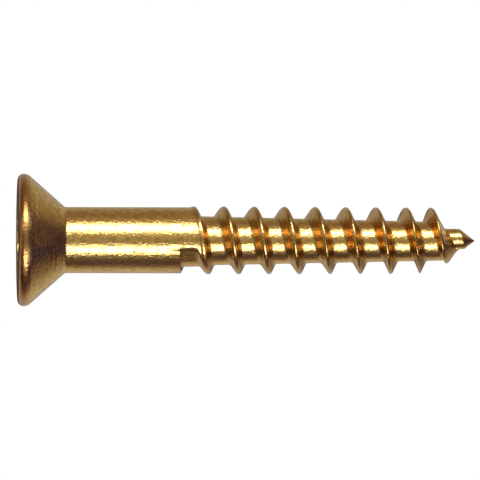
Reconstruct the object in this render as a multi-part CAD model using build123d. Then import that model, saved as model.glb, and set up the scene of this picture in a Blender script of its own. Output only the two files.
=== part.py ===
from build123d import *
import math
import os

# A countersunk wood screw in solid brass, 5.5 mm by 38 mm (number 12 by 1 1/2 inch), as one piece.
# Frame: the origin is the centre of the head's flat face, +X runs along the screw to its point and +Z is up.
# Millimetres and degrees. The screw is built standing on its head, with the point up, and is laid along +X
# at the end. A station is a distance from the head's flat face. A turn counts revolutions of the thread:
# turn 0 is the first crest at the bottom of the lying screw, and later turns are nearer the point.

# Overall
LENGTH = 38.1
SHANK_R = 2.743

# Head
HEAD_R = 5.49
HEAD_CONE_ANGLE = 41.5
RIM_FRONT_R = 0.48
RIM_BACK_R = 0.87
NECK_FILLET_R = 0.3

# Cross recess, for a number 3 driver
RECESS_R = 3.4
RECESS_DEPTH = 3.5
RECESS_TURN = 5.0
WING_WIDTH = 0.89
WING_SLOPE = 26.5
HUB_R = 1.75
HUB_DRAFT = 5.75
FLOOR_SLOPE = 28.0

# Thread: one right-hand start, cut into the blank
PITCH = 2.53
FIRST_CREST = 15.97
CREST_R = 2.8
LAST_CREST_R = 2.76
CREST_LAND = 0.16
HEAD_FLANK_ANGLE = 60.0
POINT_FLANK_ANGLE = 67.0
CORE_R_AT_FIRST_CREST = 2.02
CORE_TAPER = 1.3
SHOULDER_PITCH = 0.5
CREST_STEP = 14.2
FIRST_TURN = -0.27
LAST_TURN = 8.8

# Point: a cone that ends the thread, a thin nose, and the conical tip
THREAD_END = 34.84
END_CONE_ANGLE = 57.0
NOSE_R = 0.85
TIP_ANGLE = 38.0

# How far a cutting solid stands clear of what it cuts
CLEAR = 0.07

# Where round the blank its seam lies, away from both ends of the groove, where the cut is clean
SEAM_TURN = 100.0

# The groove takes almost a quarter of the blank. A cut that leaves more than this share has failed.
MOST_LEFT = 0.85


def tan(degrees):
    return math.tan(math.radians(degrees))


def blank():
    """The turned blank, before threading: one outline turned about the axis."""
    lean = math.radians(HEAD_CONE_ANGLE)
    cone_r = HEAD_R - RIM_BACK_R * (1 - math.cos(lean))
    cone_station = RIM_FRONT_R + RIM_BACK_R * math.sin(lean)
    neck_station = cone_station + (cone_r - SHANK_R) / math.tan(lean)
    nose_station = THREAD_END + (LAST_CREST_R - NOSE_R) / tan(END_CONE_ANGLE)
    tip_station = LENGTH - NOSE_R / tan(TIP_ANGLE)
    with BuildSketch(Plane.XZ) as outline:
        with BuildLine():
            face = Line((0, 0), (HEAD_R - RIM_FRONT_R, 0))
            front = RadiusArc(face @ 1, (HEAD_R, RIM_FRONT_R), -RIM_FRONT_R)
            back = RadiusArc(front @ 1, (cone_r, cone_station), -RIM_BACK_R)
            cone = Line(back @ 1, (SHANK_R, neck_station))
            rest = Polyline(
                cone @ 1,
                (SHANK_R, CREST_STEP),
                (CREST_R, CREST_STEP + (CREST_R - SHANK_R)),
                (LAST_CREST_R, THREAD_END),
                (NOSE_R, nose_station),
                (NOSE_R, tip_station),
                (0, LENGTH),
            )
            Line(rest @ 1, face @ 0)
        make_face()
        neck = outline.vertices().sort_by_distance((SHANK_R, 0, neck_station))[0]
        fillet(neck, NECK_FILLET_R)
    return Rot(0, 0, SEAM_TURN) * revolve(outline.sketch, Axis.Z)


def core_r(station):
    """The radius of the tapered core that the groove is cut down to."""
    return CORE_R_AT_FIRST_CREST - (station - FIRST_CREST) * tan(CORE_TAPER)


def helix_edge(turns, stations, taper):
    """A helix over these turns and stations, on the core if it tapers, or just outside the crest."""
    radius = core_r(stations[0]) if taper else CREST_R + CLEAR
    height = stations[1] - stations[0]
    pitch = height / (turns[1] - turns[0]) / math.cos(math.radians(taper))
    edge = Edge.make_helix(pitch, height, radius, (0, 0, stations[0]), angle=-taper)
    return edge.rotate(Axis.Z, 360 * turns[0])


def groove_leg(turns, head_pitch):
    """The four helices of one leg of the groove. Its wall on the head side may have its own pitch."""
    rise = CREST_R - CORE_R_AT_FIRST_CREST
    point_side = FIRST_CREST - CREST_LAND / 2
    head_side = FIRST_CREST - PITCH + CREST_LAND / 2
    corners = (
        (point_side + CLEAR / tan(HEAD_FLANK_ANGLE), PITCH, 0),
        (point_side - rise / tan(HEAD_FLANK_ANGLE), PITCH, CORE_TAPER),
        (head_side + rise / tan(POINT_FLANK_ANGLE), head_pitch, CORE_TAPER),
        (head_side - CLEAR / tan(POINT_FLANK_ANGLE), head_pitch, 0),
    )
    return [
        helix_edge(turns, [station + turn * pitch for turn in turns], taper)
        for station, pitch, taper in corners
    ]


def groove():
    """The metal that the thread's groove takes away, on the head side of each crest."""
    run_in = groove_leg((FIRST_TURN, 0), SHOULDER_PITCH)
    thread = groove_leg((0, LAST_TURN), PITCH)
    walls = [
        Face.make_surface_from_curves(edge, beside)
        for leg in (run_in, thread)
        for edge, beside in zip(leg, leg[1:] + leg[:1])
    ]
    start = Face(Wire.make_polygon([edge @ 0 for edge in run_in]))
    end = Face(Wire.make_polygon([edge @ 1 for edge in thread]))
    return Solid(Shell(walls + [start, end]))


def recess():
    """The cross recess: two crossed blades and a tapered hub, all with a sloping floor."""
    floor = tan(FLOOR_SLOPE)
    wing_depth = (RECESS_DEPTH - RECESS_R * floor) / (1 - tan(WING_SLOPE) * floor)
    wing_floor_r = RECESS_R - wing_depth * tan(WING_SLOPE)
    hub_floor_r = HUB_R - RECESS_DEPTH * tan(HUB_DRAFT)
    with BuildSketch(Plane.XZ) as blade_outline:
        with BuildLine():
            half = Polyline((0, RECESS_DEPTH), (wing_floor_r, wing_depth), (RECESS_R, 0))
            mirror(half, Plane.YZ)
            Line((RECESS_R, 0), (-RECESS_R, 0))
        make_face()
    with BuildSketch(Plane.XZ) as hub_outline:
        with BuildLine():
            Polyline(
                (0, RECESS_DEPTH),
                (hub_floor_r, RECESS_DEPTH - hub_floor_r * floor),
                (HUB_R, 0),
                (0, 0),
                (0, RECESS_DEPTH),
            )
        make_face()
    blade = extrude(blade_outline.sketch, WING_WIDTH / 2, both=True)
    hub = revolve(hub_outline.sketch, Axis.Z)
    cross = blade + Rot(0, 0, 90) * blade + hub
    return Rot(0, 0, RECESS_TURN) * cross


def screw():
    plain = blank()
    threaded = plain - groove()
    if threaded.volume > MOST_LEFT * plain.volume:
        raise ValueError("the groove was not cut")
    return Rot(0, 90, 0) * (threaded - recess())


def main():
    os.makedirs("parts", exist_ok=True)
    piece = screw()
    export_step(piece, "parts/screw.step")
    print("screw", len(piece.solids()), "solid", round(piece.volume, 2), "mm3", piece.bounding_box())


main()
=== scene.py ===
"""The looks of a brass wood screw: its real surface, its metal, a studio, a floor and the camera.

The frame: the origin is the centre of the head's flat face, +X runs to the point and +Z is up.
Lengths in the geometry are millimetres and become metres when the mesh is made. A station is a distance
from the head's face. Directions round the screw are turns: 0 is down, a quarter is the far side (+Y),
a half is up and three quarters is the near side. A thread turn also counts whole revolutions towards the
point: the first crest is at turn 0, below the screw.
"""

import math

import bpy
import numpy as np
from mathutils import Matrix, Vector


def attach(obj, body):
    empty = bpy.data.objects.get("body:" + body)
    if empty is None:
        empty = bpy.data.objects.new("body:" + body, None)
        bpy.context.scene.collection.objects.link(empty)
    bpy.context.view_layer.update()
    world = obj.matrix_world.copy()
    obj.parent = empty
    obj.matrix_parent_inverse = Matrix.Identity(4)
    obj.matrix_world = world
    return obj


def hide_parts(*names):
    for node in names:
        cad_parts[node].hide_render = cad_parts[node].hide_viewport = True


MM = 0.001

# The turn that faces the near side
NEAR_SIDE = 0.75

# Overall
LENGTH = 38.1
SHANK_R = 2.743

# Head
HEAD_R = 5.49
CONE_ANGLE = math.radians(41.5)
RIM_FRONT_R = 0.48
RIM_BACK_R = 0.87
NECK_FILLET_R = 0.3

# Cross recess
RECESS_R = 3.4
RECESS_DEPTH = 3.5
RECESS_TURN = 5 / 360
WING_WIDTH = 0.89
WING_SLOPE = math.radians(26.5)
HUB_R = 1.75
HUB_DRAFT = math.radians(5.75)
FLOOR_SLOPE = math.radians(28)
LIP_WIDTH = 0.05
LIP_DEPTH = 0.01

# Thread: its pitch, its section and the core, whose axis lies a little below the screw's
PITCH = 2.531
FIRST_CREST = 15.9
CREST_LAND = 0.177
POINT_FLANK = math.radians(66)
HEAD_FLANK = math.radians(57)
CREST_ROUND = 0.2
ROOT_ROUND = 0.25
CORE_R = 2.03
CORE_TAPER = math.radians(1.25)
CORE_OFFSET = 0.045

# Thread: where the groove runs in, over a flat near the bottom, with a shoulder on the head side
SHOULDER_STATION = 13.55
SHOULDER_PITCH = 1.2
SHOULDER_FLANK = math.radians(80)
GROOVE_START = -0.26
FLAT_R = 2.247
FLAT_TURN = -0.111

# Thread: past the last full crest, how far the crest still climbs and how quickly it stops
LAST_CREST_TURN = 8.0
FADE_LENGTH = 0.95
FADE_RATE = 1.3

# Thread: values that change along it, each as turns and the values there. They are how far the last turns
# are drawn together, the crest's radius, how much wider than CREST_LAND the crest is, and how far the
# groove's floor stands above full depth where it runs in.
DRAWN_IN = ((6.5, 7, 7.5, 8), (0, 0.165, 0.49, 0.38))
CREST_R = ((-1, -0.75, -0.45, 7.55, 8, 8.4, 9), (SHANK_R, SHANK_R, 2.82, 2.76, 1.88, 0.86, 0.6))
EXTRA_LAND = ((0, 3, 4, 6.5, 7, 7.5), (0.12, 0.11, 0.03, 0.05, -0.1, 0))
FLOOR_LIFT = ((FLAT_TURN, 0, 0.5), (0.16, 0.08, 0))

# Thread: smooth changes, each with the turns where it begins and ends. The shoulder joins the thread in
# station, slope and root, the flanks change by an angle, the core sinks under the nose, and the nose
# blends with the thread.
SHOULDER_JOINS = (0, 0.4)
SHOULDER_LEANS = (-0.12, 0.05)
ROOT_FORMS = (-0.2, 0.2)
HEAD_FLANK_STEEPENS = (3.5, 7)
HEAD_FLANK_GAIN = math.radians(13)
POINT_FLANK_FLATTENS = (7.4, 8)
POINT_FLANK_LOSS = math.radians(12)
CORE_SINKS = (8, 8.6)
CORE_DROP = 1.2
NOSE_BLENDS = (6, 8)
NOSE_BLEND = 0.1

# Thread: the stations, from the crest's, over which the metal swells from the shank's radius to the crest's
SWELL = (-0.35, -0.1)

# Thread: the least widths of a blend, where an edge is to look sharp
SHARP_ROOT = 0.01
SHARP_NOSE = 0.001

# Point
NOSE_R = 0.845
NOSE_OFFSET = 0.156
TIP_ANGLE = math.radians(38)
TIP_ROUND = 0.05

# Mesh of the recess and head: steps round an eighth of the cross, the rings of the recess's floor, wall and
# lip, how far inside the rim the face's last ring lies, and the steps along each part of the head
WING_TIP_STEPS = 4
WING_SIDE_STEPS = 12
HUB_STEPS = 8
COLUMNS = 8 * (WING_TIP_STEPS + WING_SIDE_STEPS + HUB_STEPS)
FLOOR_SHARES = (0.3, 0.6, 0.9, 1)
WALL_SHARES = (0.06, 0.3, 0.55, 0.8, 0.98)
LIP_MARGINS = (LIP_WIDTH, LIP_WIDTH + 0.08)
FACE_MARGIN = 0.3
RIM_FRONT_STEPS = 7
RIM_BACK_STEPS = 6
CONE_STEPS = 8
FILLET_STEPS = 5
SHANK_STEPS = 8

# Mesh of the thread and tip: the station where it starts, the grooves it covers, the rows across a groove as
# stretches of its width with a number of rows each, the tip's rings, and the least angle of a sharp edge
THREAD_START = 12.2
FIRST_GROOVE = -1
LAST_GROOVE = 9
ROWS = ((0, 0.2, 8), (0.2, 0.7, 8), (0.7, 0.92, 8), (0.92, 1, 4))
TIP_STATIONS = (36.8, 36.87, 36.95, 37.05, 37.15, 37.25, 37.4, 37.6, 37.85, 38.03)
SHARP_ANGLE = math.radians(50)

# Painted shade and cut metal: how much of the flanks' darkening the core has as painted groove shade, and
# the crests and the rim as duller cut metal
CORE_GROOVE_SHADE = 0.25
CREST_CUT = 0.8
RIM_CUT = 0.6

# Painted shade and cut metal: where each begins and is full or ends. For the flanks' painted shade it is how
# steep they are, for its end a station, for the rim's cut metal and painted shade radii and stations. Metal
# this near the shank's radius has neither.
GROOVE_SHADE_STEEPNESS = (0.2, 0.55)
GROOVE_SHADE_END = (35.2, 35.8)
CUT_RIM = (HEAD_R - 0.35, HEAD_R - 0.1)
RIM_SHADE_RADII = (HEAD_R - 1, HEAD_R - 0.4)
RIM_SHADE_STATIONS = (0.4, 0.85)
UNCUT_MARGIN = 0.005

# Dents on the plain shank: the station, the degrees above the near side and the radius of each
DENTS = ((5.78, 18, 0.11), (9.53, -22, 0.14), (5.87, -24, 0.1), (11.6, -17, 0.09), (8.1, 27, 0.08))

# Metal: colours of the polished metal in two tones, its specks, the thread's painted groove shade (duller
# cut metal on the crests and the rim's edge), the rim's painted shade, and the tint that every tone takes
# where it is seen edge on
POLISHED = (0.93, 0.64, 0.21, 1)
POLISHED_DEEPER = (0.87, 0.57, 0.18, 1)
SPECKED = (0.66, 0.4, 0.13, 1)
CUT_AND_GROOVE_SHADE = (0.68, 0.42, 0.145, 1)
RIM_SHADE = (0.5, 0.22, 0.07, 1)
EDGE_TINT = (0.96, 0.93, 0.84, 1)

# Metal: each texture's features to the metre, its detail and its roughness, and how the tool lines' texture
# is squeezed so that they run round the screw
GRAIN = (4800, 2, 0.6)
MOTTLE = (2300, 3, 0.65)
PATCHES = (420, 3, 0.6)
LINES = (6500, 2, 0.5)
LINE_SQUEEZE = (1, 0.04, 0.04)

# Metal: the textures' heights beside a dent's, which is 1 deep, and that depth in metres
GRAIN_HEIGHT = 1.3
MOTTLE_HEIGHT = 0.55
HEAD_LINE_HEIGHT = 1.6
FAINT_LINE_HEIGHT = 0.2
RUN_IN_LINE_HEIGHT = 1
DENT_DEPTH = 0.000022

# Metal: stations, in metres, over which the head's tool lines turn faint, and the run-in's begin and end
HEAD_LINES_FADE = (3.6 * MM, 4.2 * MM)
RUN_IN_LINES_BEGIN = (13.4 * MM, 13.7 * MM)
RUN_IN_LINES_END = (15 * MM, 15.4 * MM)

# Metal: the values of a texture where a patch, speck, spot of the rim's painted shade or rough spot begins
# and is full, how full a speck is, and how much of the rim's painted shade is left between its spots
PATCH_RANGE = (0.35, 0.65)
SPECK_RANGE = (0.42, 0.6)
SPECK_SHARE = 0.75
RIM_SHADE_RANGE = (0.35, 0.6)
RIM_SHADE_LEAST = 0.75
ROUGH_RANGE = (0.3, 0.7)

# Metal: the roughness of the smoothest and the roughest spot, and what cut metal adds
SMOOTHEST = 0.12
ROUGHEST = 0.2
CUT_ROUGHNESS = 0.06

# The studio round the screw's axis, without its lamps: degrees above the near side, and the colour there.
# It is dark above and below the lamps and pale on the far side, with a dark strip right behind the screw.
SURROUNDINGS = (
    (-180, (0.08, 0.06, 0.06)),
    (-173, (0.1, 0.08, 0.08)),
    (-168, (0.5, 0.5, 0.55)),
    (-128, (0.56, 0.56, 0.58)),
    (-112, (0.32, 0.27, 0.25)),
    (-98, (0.12, 0.09, 0.11)),
    (-80, (0.09, 0.065, 0.11)),
    (-66, (0.17, 0.15, 0.17)),
    (-45, (0.5, 0.5, 0.5)),
    (-12, (0.42, 0.42, 0.4)),
    (0, (0.31, 0.28, 0.22)),
    (12, (0.42, 0.39, 0.32)),
    (45, (0.5, 0.5, 0.5)),
    (76, (0.36, 0.3, 0.24)),
    (95, (0.25, 0.18, 0.135)),
    (118, (0.29, 0.235, 0.19)),
    (140, (0.38, 0.37, 0.36)),
    (168, (0.5, 0.5, 0.55)),
    (173, (0.1, 0.08, 0.08)),
    (180, (0.08, 0.06, 0.06)),
)

# A place along the studio is -1 straight out from the head's face, 0 beside the screw and 1 past its point.
# The studio's dark end lies past the point. It has one colour above and one below, and it shades some of
# the near side before it. On the way there the lower part is tinted.
FAR_END = (0.85, 0.975)
FAR_END_ABOVE = (0.058, 0.038, 0.085, 1)
FAR_END_BELOW = (0.036, 0.026, 0.09, 1)
FAR_END_DEGREES = (-30, 10)
NEAR_SHADE = 0.9
NEAR_SHADE_ALONG = (0.35, 0.65)
NEAR_SHADE_DEGREES = (70, 95)
LOW_TINT = (0.08, 0.02, 0, 1)
LOW_TINT_SHARE = 0.55
LOW_TINT_ALONG = (0.4, 0.85)
LOW_TINT_DEGREES = (-90, -60)

# The studio is dim towards the head's end, except on the far side, and bright straight out from its face
HEAD_DIM = 0.4
HEAD_DIM_ALONG = (-0.7, -0.2)
FAR_SIDE_DEGREES = (100, 130)
FACE_BRIGHT = 1.3
FACE_BRIGHT_ALONG = (-0.98, -0.9)

# Two long lamps, one below the camera and one above: the degrees where each begins, is full, is full and
# ends, and how far it reaches towards the head's end. Both weaken towards the point, and then end.
LAMPS = (((-48, -39, -31, -18), (-0.2, -0.04)), ((25, 40, 47, 63), (-0.4, -0.15)))
LAMP_BRIGHTNESS = 7.5
LAMP_WEAKENS = (0.12, 0.4)
LAMP_WEAK_SHARE = 0.15
LAMP_ENDS = (0.7, 0.92)

# Two softer lamps that light the other sides: the stretch along the axis, the degrees and the brightness
SIDE_LAMPS = (((-0.78, -0.52), (20, 50), 2.2), ((0.52, 0.85), (148, 168), 0.8))
SIDE_LAMP_EDGE = 0.08
SIDE_LAMP_EDGE_DEGREES = 6

# Floor: its size in metres, and how far below the rim it lies
FLOOR_SIZE = 60
FLOOR_GAP = 0.01

# Camera: metres, with VIEW_WIDTH as what it sees across at the screw, and the sensor in millimetres
CAMERA_DISTANCE = 0.42
CAMERA_YAW = math.radians(4)
CAMERA_ROLL = math.radians(0.113)
VIEW_WIDTH = 0.0399
AIM = Vector((18.48, 0, 0.034)) * MM
SENSOR_WIDTH = 36
NEAREST = 0.01
FARTHEST = 100


# Geometry: small helpers


def smooth_max(a, b, width):
    share = np.clip(0.5 + 0.5 * (a - b) / width, 0, 1)
    return b * (1 - share) + a * share + width * share * (1 - share)


def smooth_min(a, b, width):
    return -smooth_max(-a, -b, width)


def ease(low, high, value):
    """0 up to low, 1 from high, and a smooth rise between."""
    share = np.clip((value - low) / (high - low), 0, 1)
    return share * share * (3 - 2 * share)


def around(station, radius, turn):
    """Points at these stations, radii and turns round the axis."""
    angle = 2 * np.pi * np.asarray(turn)
    station, radius, angle = np.broadcast_arrays(station, radius, angle)
    return np.stack([station, radius * np.sin(angle), -radius * np.cos(angle)], axis=-1)


COLUMN_TURNS = np.arange(COLUMNS) / COLUMNS


def ring(station, radius):
    return around(station, radius, COLUMN_TURNS)


# Geometry: head


def cross_outline(half_width, hub_r, tip_r):
    """The cross seen along the axis, as radius and turn of each column, from one wing's middle round."""
    tip = [(tip_r, half_width * i / WING_TIP_STEPS) for i in range(WING_TIP_STEPS)]
    hub_reach = math.sqrt(hub_r**2 - half_width**2)
    side = [(x, half_width) for x in np.linspace(tip_r, hub_reach, WING_SIDE_STEPS + 1)[:-1]]
    hub_angles = np.linspace(math.asin(half_width / hub_r), math.pi / 4, HUB_STEPS + 1)
    hub = [(hub_r * math.cos(a), hub_r * math.sin(a)) for a in hub_angles]
    eighth = np.array(tip + side + hub)
    quarter = np.concatenate([eighth, eighth[-2:0:-1, ::-1]])
    turn = np.arctan2(quarter[:, 1], quarter[:, 0]) / (2 * np.pi)
    radius = np.hypot(quarter[:, 0], quarter[:, 1])
    turns = np.concatenate([turn + i / 4 for i in range(4)])
    return np.tile(radius, 4), turns + RECESS_TURN


def recess_rings():
    """The driver recess, from the middle of its floor out to its lip on the head's face."""
    floor = math.tan(FLOOR_SLOPE)
    wing_depth = (RECESS_DEPTH - RECESS_R * floor) / (1 - math.tan(WING_SLOPE) * floor)
    hub_depth = (RECESS_DEPTH - HUB_R * floor) / (1 - math.tan(HUB_DRAFT) * floor)
    wing_floor_r = RECESS_R - wing_depth * math.tan(WING_SLOPE)
    hub_floor_r = HUB_R - hub_depth * math.tan(HUB_DRAFT)
    floor_r, floor_turn = cross_outline(WING_WIDTH / 2, hub_floor_r, wing_floor_r)
    mouth_r, mouth_turn = cross_outline(WING_WIDTH / 2, HUB_R, RECESS_R)
    rings = []
    for share in FLOOR_SHARES:
        rings.append(around(RECESS_DEPTH - share * floor_r * floor, share * floor_r, floor_turn))
    foot = rings[-1]
    mouth = around(0, mouth_r, mouth_turn)
    for share in WALL_SHARES:
        rings.append(foot + (mouth - foot) * share)
    rings.append(around(LIP_DEPTH, mouth_r + LIP_WIDTH / 3, mouth_turn))
    for margin in LIP_MARGINS:
        edge_r, edge_turn = cross_outline(WING_WIDTH / 2 + margin, HUB_R + margin, RECESS_R + margin)
        rings.append(around(0, edge_r, edge_turn))
    return rings


def head_rings():
    """The rim, the cone and the plain shank, from the face's edge to where the thread's mesh starts."""
    rings = [ring(0, HEAD_R - RIM_FRONT_R - FACE_MARGIN)]
    for a in np.linspace(0, math.pi / 2, RIM_FRONT_STEPS + 1):
        station = RIM_FRONT_R * (1 - math.cos(a))
        rings.append(ring(station, HEAD_R - RIM_FRONT_R * (1 - math.sin(a))))
    for a in np.linspace(0, CONE_ANGLE, RIM_BACK_STEPS + 1)[1:]:
        station = RIM_FRONT_R + RIM_BACK_R * math.sin(a)
        rings.append(ring(station, HEAD_R - RIM_BACK_R * (1 - math.cos(a))))
    cone_station = RIM_FRONT_R + RIM_BACK_R * math.sin(CONE_ANGLE)
    cone_r = HEAD_R - RIM_BACK_R * (1 - math.cos(CONE_ANGLE))
    neck = cone_station + (cone_r - SHANK_R) / math.tan(CONE_ANGLE)
    fillet_end = neck + NECK_FILLET_R * math.tan(CONE_ANGLE / 2)
    fillet = []
    for a in np.linspace(CONE_ANGLE, 0, FILLET_STEPS + 1):
        station = fillet_end - NECK_FILLET_R * math.sin(a)
        fillet.append((station, SHANK_R + NECK_FILLET_R * (1 - math.cos(a))))
    for share in np.linspace(0, 1, CONE_STEPS + 1)[1:-1]:
        station = cone_station + (fillet[0][0] - cone_station) * share
        rings.append(ring(station, cone_r + (fillet[0][1] - cone_r) * share))
    rings += [ring(station, radius) for station, radius in fillet]
    shank = np.linspace(fillet_end, THREAD_START, SHANK_STEPS + 1)[1:]
    rings += [ring(station, SHANK_R) for station in shank]
    return rings


# Geometry: thread


def full_crest_station(turn):
    """Where the crest lies on the full thread, whose last turns are drawn together."""
    return FIRST_CREST + PITCH * turn - np.interp(turn, *DRAWN_IN)


def crest_station(turn):
    """Where the crest lies. Past the last full crest it climbs less and less, and dies out on the nose."""
    past = np.maximum(0, turn - LAST_CREST_TURN)
    faded = full_crest_station(LAST_CREST_TURN) + FADE_LENGTH * (1 - np.exp(-FADE_RATE * past))
    return np.where(turn < LAST_CREST_TURN, full_crest_station(turn), faded)


def crest_radius(turn):
    """How far the crest stands from the axis."""
    return np.interp(turn, *CREST_R)


def wall_station(turn):
    """The head side of the groove: the shoulder where it runs in, which leads into the crest before."""
    shoulder = SHOULDER_STATION + SHOULDER_PITCH * turn
    crest_before = crest_station(turn - 1) + CREST_LAND / 2
    gap = SHOULDER_STATION - (FIRST_CREST - PITCH + CREST_LAND / 2)
    return np.where(turn < 0, shoulder, crest_before + gap * (1 - ease(*SHOULDER_JOINS, turn)))


def head_slope(turn):
    """How steeply a crest rises on its head side."""
    return np.tan(HEAD_FLANK + HEAD_FLANK_GAIN * ease(*HEAD_FLANK_STEEPENS, turn))


def point_slope(turn):
    """How steeply a crest falls on its point side."""
    return np.tan(POINT_FLANK - POINT_FLANK_LOSS * ease(*POINT_FLANK_FLATTENS, turn))


def wall_slope(turn):
    """How steeply the groove's head-side wall falls: the shoulder, then the crest before."""
    shoulder = np.tan(SHOULDER_FLANK)
    return shoulder + (point_slope(turn - 1) - shoulder) * ease(*SHOULDER_LEANS, turn)


def groove_lift(turn):
    """How far the groove's floor stands above full depth: it comes in along a flat and then sinks on."""
    angle = 2 * np.pi * np.minimum(0, turn - FLAT_TURN)
    flat = FLAT_R / np.cos(angle) - FLAT_R
    return flat + np.interp(turn, *FLOOR_LIFT)


def core_radius(station, turn):
    """The tapered core. Under the nose it sinks away."""
    core = CORE_R - (station - FIRST_CREST) * math.tan(CORE_TAPER) + groove_lift(turn)
    core = core + CORE_OFFSET * np.cos(2 * np.pi * turn)
    return core - CORE_DROP * ease(*CORE_SINKS, turn)


def nose_radius(station, turn):
    """The thin nose, whose axis lies above the screw's, and the cone of the tip, which is central."""
    angle = 2 * np.pi * turn
    side = NOSE_OFFSET * np.sin(angle)
    nose = np.sqrt(NOSE_R**2 - side**2) - NOSE_OFFSET * np.cos(angle)
    return smooth_min(nose, (LENGTH - station) * math.tan(TIP_ANGLE), TIP_ROUND)


def thread_radius(station, turn):
    """The surface between the groove's head-side wall and the crest at this turn."""
    crest_r = crest_radius(turn)
    before_r = crest_radius(turn - 1)
    down = np.maximum(0, station - wall_station(turn))
    up = crest_station(turn) - CREST_LAND / 2 - np.interp(turn, *EXTRA_LAND) - station
    over = crest_station(turn) + CREST_LAND / 2 - station
    wall = smooth_min(before_r - down * wall_slope(turn), before_r, CREST_ROUND)
    rise = crest_r - up * head_slope(turn) + groove_lift(turn)
    top = SHANK_R + (crest_r - SHANK_R) * ease(*SWELL, station - crest_station(turn))
    ridge = smooth_min(smooth_max(core_radius(station, turn), rise, ROOT_ROUND), top, CREST_ROUND)
    ridge = smooth_min(ridge, crest_r + over * point_slope(turn), CREST_ROUND)
    surface = smooth_max(wall, ridge, ROOT_ROUND * ease(*ROOT_FORMS, turn) + SHARP_ROOT)
    surface = np.where(turn < GROOVE_START, top, surface)
    blend = NOSE_BLEND * ease(*NOSE_BLENDS, turn) + SHARP_NOSE
    return smooth_max(surface, nose_radius(station, turn), blend)


def thread_grid():
    """Rows that follow the thread: grid[column, row], where a row climbs one pitch in going round."""
    steps = np.concatenate([np.linspace(low, high, count, endpoint=False) for low, high, count in ROWS])
    grooves = np.arange(FIRST_GROOVE, LAST_GROOVE + 1)
    turn = (COLUMN_TURNS[:, None, None] + grooves[None, :, None]) * np.ones(len(steps))
    start = wall_station(turn)
    station = start + (wall_station(turn + 1) - start) * steps
    grid = around(station, thread_radius(station, turn), turn)
    return grid.reshape(COLUMNS, -1, 3), len(steps)


def tip_rings():
    """The last of the nose and the tip, up to just short of the apex."""
    return [ring(station, nose_radius(station, COLUMN_TURNS)) for station in TIP_STATIONS]


# Geometry: one closed mesh


class Surface:
    """Collects points and the faces between them."""

    def __init__(self):
        self.points = []
        self.faces = []
        self.count = 0

    def add(self, points):
        """Adds points and returns their numbers."""
        points = np.asarray(points, float).reshape(-1, 3)
        numbers = np.arange(self.count, self.count + len(points))
        self.points.append(points)
        self.count += len(points)
        return numbers

    def strip(self, first, second):
        """Quads between two rings. They face out when the second comes later on the way to the tip."""
        after = np.roll(np.arange(COLUMNS), -1)
        quads = np.stack([first, first[after], second[after], second], axis=-1)
        self.faces += quads.tolist()

    def fan(self, hub, rim):
        """Triangles from one point to each pair along the rim."""
        self.faces += [[hub, int(a), int(b)] for a, b in zip(rim, rim[1:])]

    def mesh(self, name):
        mesh = bpy.data.meshes.new(name)
        points = np.concatenate(self.points) * MM
        mesh.from_pydata(points.tolist(), [], self.faces)
        mesh.validate()
        mesh.update()
        return mesh


def add_thread(surface, start_ring, end_ring):
    """The thread's grid, joined to a plain ring at each end. Going once round moves one pitch of rows on."""
    grid, pitch_rows = thread_grid()
    rows = grid.shape[1]
    number = surface.add(grid).reshape(COLUMNS, rows)
    for column in range(COLUMNS - 1):
        here, beyond = number[column], number[column + 1]
        surface.faces += np.stack([here[:-1], beyond[:-1], beyond[1:], here[1:]], axis=-1).tolist()
        surface.faces.append([start_ring[column], start_ring[column + 1], beyond[0], here[0]])
        surface.faces.append([here[-1], beyond[-1], end_ring[column + 1], end_ring[column]])
    here, beyond = number[-1][:-pitch_rows], number[0][pitch_rows:]
    surface.faces += np.stack([here[:-1], beyond[:-1], beyond[1:], here[1:]], axis=-1).tolist()
    first = [start_ring[0], *number[0][: pitch_rows + 1], number[-1][0]]
    surface.fan(start_ring[-1], first)
    last = [end_ring[-1], *number[-1][-1 : -pitch_rows - 2 : -1], number[0][-1]]
    surface.fan(end_ring[0], last)


def add_cut_and_painted_shade(mesh):
    """Marks painted groove shade in the thread (the core a little, the flanks most), duller cut metal on the
    crests and the rim's edge, and painted shade on the rim.
    """
    count = len(mesh.vertices)
    places = np.empty(3 * count)
    normals = np.empty(3 * count)
    mesh.vertices.foreach_get("co", places)
    mesh.vertex_normals.foreach_get("vector", normals)
    station, across, up = places.reshape(-1, 3).T / MM
    radius = np.hypot(across, up)
    steepness = np.abs(normals.reshape(-1, 3)[:, 0])
    threaded = (station > THREAD_START) & (np.abs(radius - SHANK_R) > UNCUT_MARGIN)
    on_crest = (station > FIRST_CREST) & (radius > SHANK_R)
    # Painted groove shade on the steep flanks and a little on the core; on the crests and the rim's edge the
    # same mark is duller cut metal
    cut_and_groove_shade = threaded * np.maximum(CORE_GROOVE_SHADE, ease(*GROOVE_SHADE_STEEPNESS, steepness)) * (1 - ease(*GROOVE_SHADE_END, station))
    cut_and_groove_shade = np.where(on_crest, np.maximum(cut_and_groove_shade, CREST_CUT), cut_and_groove_shade)
    cut_and_groove_shade = np.maximum(cut_and_groove_shade, RIM_CUT * ease(*CUT_RIM, radius))
    # Painted shade on the rim's front and the face's edge, standing in for the dark studio they reflect
    rim = ease(*RIM_SHADE_RADII, radius) * (1 - ease(*RIM_SHADE_STATIONS, station))
    for name, values in (("cut_and_groove_shade", cut_and_groove_shade), ("rim", rim)):
        mesh.attributes.new(name, "FLOAT", "POINT").data.foreach_set("value", values.astype(np.float32))


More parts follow.
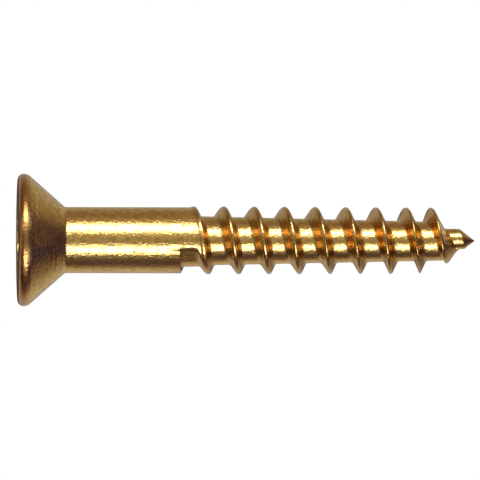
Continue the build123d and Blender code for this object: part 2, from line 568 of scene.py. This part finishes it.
def screw_mesh():
    """The whole screw: recess, head and shank, thread, tip. Every ring has the same columns."""
    surface = Surface()
    middle = surface.add([(RECESS_DEPTH, 0, 0)])[0]
    head = [surface.add(points) for points in recess_rings() + head_rings()]
    tip = [surface.add(points) for points in tip_rings()]
    apex = surface.add([(LENGTH, 0, 0)])[0]
    surface.fan(middle, [*head[0][::-1], head[0][-1]])
    for group in (head, tip):
        for first, second in zip(group, group[1:]):
            surface.strip(first, second)
    add_thread(surface, head[-1], tip[0])
    surface.fan(apex, [*tip[-1], tip[-1][0]])
    mesh = surface.mesh("screw_brass")
    add_cut_and_painted_shade(mesh)
    mesh.shade_smooth()
    mesh.set_sharp_from_angle(angle=SHARP_ANGLE)
    return mesh


# Material


class Nodes:
    """A short way to write a node tree."""

    def __init__(self, tree):
        self.tree = tree
        tree.nodes.clear()

    def add(self, kind, inputs=None, **settings):
        node = self.tree.nodes.new(kind)
        for name, value in settings.items():
            setattr(node, name, value)
        for name, value in (inputs or {}).items():
            if isinstance(value, bpy.types.NodeSocket):
                self.tree.links.new(value, node.inputs[name])
            else:
                node.inputs[name].default_value = value
        return node

    def math(self, operation, a, b=0.0):
        return self.add("ShaderNodeMath", {0: a, 1: b}, operation=operation).outputs[0]

    def product(self, *values):
        """All the values multiplied together."""
        result = values[0]
        for value in values[1:]:
            result = self.math("MULTIPLY", result, value)
        return result

    def stretch(self, value, low, high, to_low, to_high, how="LINEAR"):
        """The value, taken from one range to another and kept inside it."""
        inputs = {"Value": value, "From Min": low, "From Max": high, "To Min": to_low, "To Max": to_high}
        return self.add("ShaderNodeMapRange", inputs, clamp=True, interpolation_type=how).outputs[0]

    def smooth(self, value, low, high, to_low, to_high):
        return self.stretch(value, low, high, to_low, to_high, "SMOOTHSTEP")

    def band(self, value, low, high, edge):
        """1 between low and high, with soft edges inside them, and 0 outside."""
        begin = self.smooth(value, low, low + edge, 0, 1)
        end = self.smooth(value, high - edge, high, 1, 0)
        return self.product(begin, end)

    def noise(self, where, scale, detail, roughness):
        inputs = {"Vector": where, "Scale": scale, "Detail": detail, "Roughness": roughness}
        return self.add("ShaderNodeTexNoise", inputs).outputs[0]

    def blend(self, share, first, second):
        """A colour between two, each a colour or a socket."""
        mix = self.add("ShaderNodeMix", {"Factor": share}, data_type="RGBA")
        for socket, value in ((mix.inputs[6], first), (mix.inputs[7], second)):
            if isinstance(value, tuple):
                socket.default_value = value
            else:
                self.tree.links.new(value, socket)
        return mix.outputs[2]


def tool_lines(n, where):
    """Fine lines round the screw, as a height."""
    along = n.add("ShaderNodeSeparateXYZ", {0: where}).outputs[0]
    squeezed = n.add("ShaderNodeMapping", {"Vector": where, "Scale": LINE_SQUEEZE}).outputs[0]
    on_head = n.smooth(along, *HEAD_LINES_FADE, HEAD_LINE_HEIGHT, FAINT_LINE_HEIGHT)
    begin = n.smooth(along, *RUN_IN_LINES_BEGIN, 0, RUN_IN_LINE_HEIGHT)
    on_run_in = n.product(begin, n.smooth(along, *RUN_IN_LINES_END, 1, 0))
    return n.product(n.noise(squeezed, *LINES), n.math("ADD", on_head, on_run_in))


def dents(n, where):
    """A shallow round hollow at each dent, as a height of 0 to -1."""
    depth = 0.0
    for station, degrees, size in DENTS:
        place = around(station, SHANK_R, NEAR_SIDE - degrees / 360) * MM
        away = n.add("ShaderNodeVectorMath", {0: where, 1: place.tolist()}, operation="DISTANCE")
        depth = n.math("ADD", depth, n.smooth(away.outputs["Value"], 0, size * MM, -1, 0))
    return depth


def brass():
    """Turned brass: bright with fine grain on the shank, darker and redder with painted shade in the
    thread's grooves and on the rim, and duller cut metal on the crests and the rim's edge.
    """
    material = bpy.data.materials.new("brass")
    material.use_nodes = True
    n = Nodes(material.node_tree)
    where = n.add("ShaderNodeTexCoord").outputs["Object"]
    cut_and_groove_shade = n.add("ShaderNodeAttribute", attribute_name="cut_and_groove_shade").outputs["Fac"]
    rim = n.add("ShaderNodeAttribute", attribute_name="rim").outputs["Fac"]
    mottle = n.noise(where, *MOTTLE)
    patches = n.noise(where, *PATCHES)

    grain = n.product(n.noise(where, *GRAIN), GRAIN_HEIGHT)
    relief = n.math("ADD", grain, n.product(mottle, MOTTLE_HEIGHT))
    relief = n.math("ADD", relief, tool_lines(n, where))
    relief = n.math("ADD", relief, dents(n, where))
    bump = n.add("ShaderNodeBump", {"Height": relief, "Strength": 1.0, "Distance": DENT_DEPTH})

    polished = n.blend(n.stretch(patches, *PATCH_RANGE, 0, 1), POLISHED, POLISHED_DEEPER)
    specked = n.blend(n.stretch(mottle, *SPECK_RANGE, 0, SPECK_SHARE), polished, SPECKED)
    # Painted shade: the grooves darken and redden here; on the crests and the rim's edge it is duller cut
    # metal
    thread = n.blend(cut_and_groove_shade, specked, CUT_AND_GROOVE_SHADE)
    # Painted shade on the rim, mottled
    rim_shade = n.product(rim, n.stretch(mottle, *RIM_SHADE_RANGE, RIM_SHADE_LEAST, 1))
    colour = n.blend(rim_shade, thread, RIM_SHADE)
    roughness = n.stretch(mottle, *ROUGH_RANGE, SMOOTHEST, ROUGHEST)
    shader = n.add(
        "ShaderNodeBsdfPrincipled",
        {
            "Base Color": colour,
            "Metallic": 1.0,
            "Specular Tint": EDGE_TINT,
            "Roughness": n.math("ADD", roughness, n.product(cut_and_groove_shade, CUT_ROUGHNESS)),
            "Normal": bump.outputs[0],
        },
    )
    n.add("ShaderNodeOutputMaterial", {"Surface": shader.outputs[0]})
    return material


# Studio


def studio_ramp(n, angle):
    """The colours of SURROUNDINGS, round the axis."""
    ramp = n.add("ShaderNodeValToRGB", {0: n.stretch(angle, -180, 180, 0, 1)})
    stops = ramp.color_ramp.elements
    while len(stops) < len(SURROUNDINGS):
        stops.new(0.5)
    for stop, (degrees, colour) in zip(stops, SURROUNDINGS):
        stop.position = (degrees + 180) / 360
        stop.color = (*colour, 1)
    return ramp.outputs[0]


def studio_walls(n, along, angle):
    """The studio without its lamps, as colour and strength."""
    from_near = n.math("ABSOLUTE", angle)
    on_near = n.smooth(from_near, *NEAR_SHADE_DEGREES, 1, 0)
    near_shade = n.product(on_near, n.smooth(along, *NEAR_SHADE_ALONG, 0, NEAR_SHADE))
    far = n.math("MAXIMUM", n.stretch(along, *FAR_END, 0, 1), near_shade)
    far_end = n.blend(n.smooth(angle, *FAR_END_DEGREES, 1, 0), FAR_END_ABOVE, FAR_END_BELOW)
    is_low = n.smooth(angle, *LOW_TINT_DEGREES, 1, 0)
    low_tint = n.product(is_low, n.smooth(along, *LOW_TINT_ALONG, 0, LOW_TINT_SHARE))
    colour = n.blend(far, n.blend(low_tint, studio_ramp(n, angle), LOW_TINT), far_end)

    dimmed = n.stretch(along, *HEAD_DIM_ALONG, HEAD_DIM, 1)
    on_far_side = n.smooth(from_near, *FAR_SIDE_DEGREES, 0, 1)
    before_face = n.smooth(along, *FACE_BRIGHT_ALONG, FACE_BRIGHT, 0)
    strength = n.math("MAXIMUM", dimmed, n.math("MAXIMUM", on_far_side, before_face))
    return colour, strength


def studio_lamps(n, along, angle):
    """The brightness of all the lamps together."""
    glow = 0.0
    weakened = n.smooth(along, *LAMP_WEAKENS, 1, LAMP_WEAK_SHARE)
    towards_point = n.product(weakened, n.smooth(along, *LAMP_ENDS, 1, 0))
    for (begin, full, still_full, end), reach in LAMPS:
        width = n.product(n.smooth(angle, begin, full, 0, 1), n.smooth(angle, still_full, end, 1, 0))
        length = n.product(towards_point, n.smooth(along, *reach, 0, LAMP_BRIGHTNESS))
        glow = n.math("ADD", glow, n.product(width, length))
    for stretch, degrees, brightness in SIDE_LAMPS:
        length = n.band(along, *stretch, SIDE_LAMP_EDGE)
        width = n.band(angle, *degrees, SIDE_LAMP_EDGE_DEGREES)
        glow = n.math("ADD", glow, n.product(length, width, brightness))
    return glow


def studio():
    """White behind the screw. Only reflections see the lamps and the dimmer studio."""
    world = bpy.data.worlds.new("studio")
    bpy.context.scene.world = world
    world.use_nodes = True
    n = Nodes(world.node_tree)
    axes = n.add("ShaderNodeSeparateXYZ", {0: n.add("ShaderNodeTexCoord").outputs["Generated"]})
    along, across, up = axes.outputs
    angle = n.math("DEGREES", n.math("ARCTAN2", up, n.product(across, -1.0)))
    colour, strength = studio_walls(n, along, angle)
    walls = n.add("ShaderNodeBackground", {"Color": colour, "Strength": strength})
    lamps = n.add("ShaderNodeBackground", {"Color": (1, 1, 1, 1), "Strength": studio_lamps(n, along, angle)})
    reflected = n.add("ShaderNodeAddShader", {0: walls.outputs[0], 1: lamps.outputs[0]})
    seen = n.add("ShaderNodeBackground", {"Color": (1, 1, 1, 1), "Strength": 1.0})
    is_camera = n.add("ShaderNodeLightPath").outputs["Is Camera Ray"]
    mixed = n.add("ShaderNodeMixShader", {0: is_camera, 1: reflected.outputs[0], 2: seen.outputs[0]})
    n.add("ShaderNodeOutputWorld", {"Surface": mixed.outputs[0]})


def floor():
    """A plain white floor under the head's rim, bright enough to show no shadow, as on a light table."""
    material = bpy.data.materials.new("floor_white")
    material.use_nodes = True
    n = Nodes(material.node_tree)
    glow = n.add("ShaderNodeEmission", {"Color": (1, 1, 1, 1), "Strength": 1.0})
    n.add("ShaderNodeOutputMaterial", {"Surface": glow.outputs[0]})
    bpy.ops.mesh.primitive_plane_add(size=FLOOR_SIZE, location=(0, 0, -(HEAD_R + FLOOR_GAP) * MM))
    plane = bpy.context.object
    plane.name = "floor"
    plane.data.materials.append(material)
    plane.visible_glossy = False
    plane.visible_diffuse = False


def camera():
    """Level with the screw, and a little round towards its head."""
    data = bpy.data.cameras.new("camera")
    data.sensor_width = SENSOR_WIDTH
    data.lens = data.sensor_width * CAMERA_DISTANCE / VIEW_WIDTH
    data.clip_start = NEAREST
    data.clip_end = FARTHEST
    looking = Vector((math.sin(CAMERA_YAW), math.cos(CAMERA_YAW), 0))
    placed = bpy.data.objects.new("camera", data)
    placed.rotation_mode = "QUATERNION"
    placed.location = AIM - looking * CAMERA_DISTANCE
    level = looking.to_track_quat("-Z", "Y")
    roll = Matrix.Rotation(CAMERA_ROLL, 3, "Z").to_quaternion()
    placed.rotation_quaternion = level @ roll
    bpy.context.scene.collection.objects.link(placed)
    bpy.context.scene.camera = placed


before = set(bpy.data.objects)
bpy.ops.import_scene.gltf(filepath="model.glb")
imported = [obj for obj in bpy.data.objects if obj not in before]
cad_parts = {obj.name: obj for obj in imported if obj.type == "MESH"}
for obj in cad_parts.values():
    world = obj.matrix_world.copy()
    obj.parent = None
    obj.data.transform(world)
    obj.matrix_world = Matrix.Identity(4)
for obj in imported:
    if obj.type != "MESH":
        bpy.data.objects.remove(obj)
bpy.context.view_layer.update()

screw = bpy.data.objects.new("screw_brass", screw_mesh())
bpy.context.scene.collection.objects.link(screw)
screw.data.materials.append(brass())
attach(screw, "root")
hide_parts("screw")

floor()
studio()
camera()
bpy.context.scene.view_settings.view_transform = "Standard"
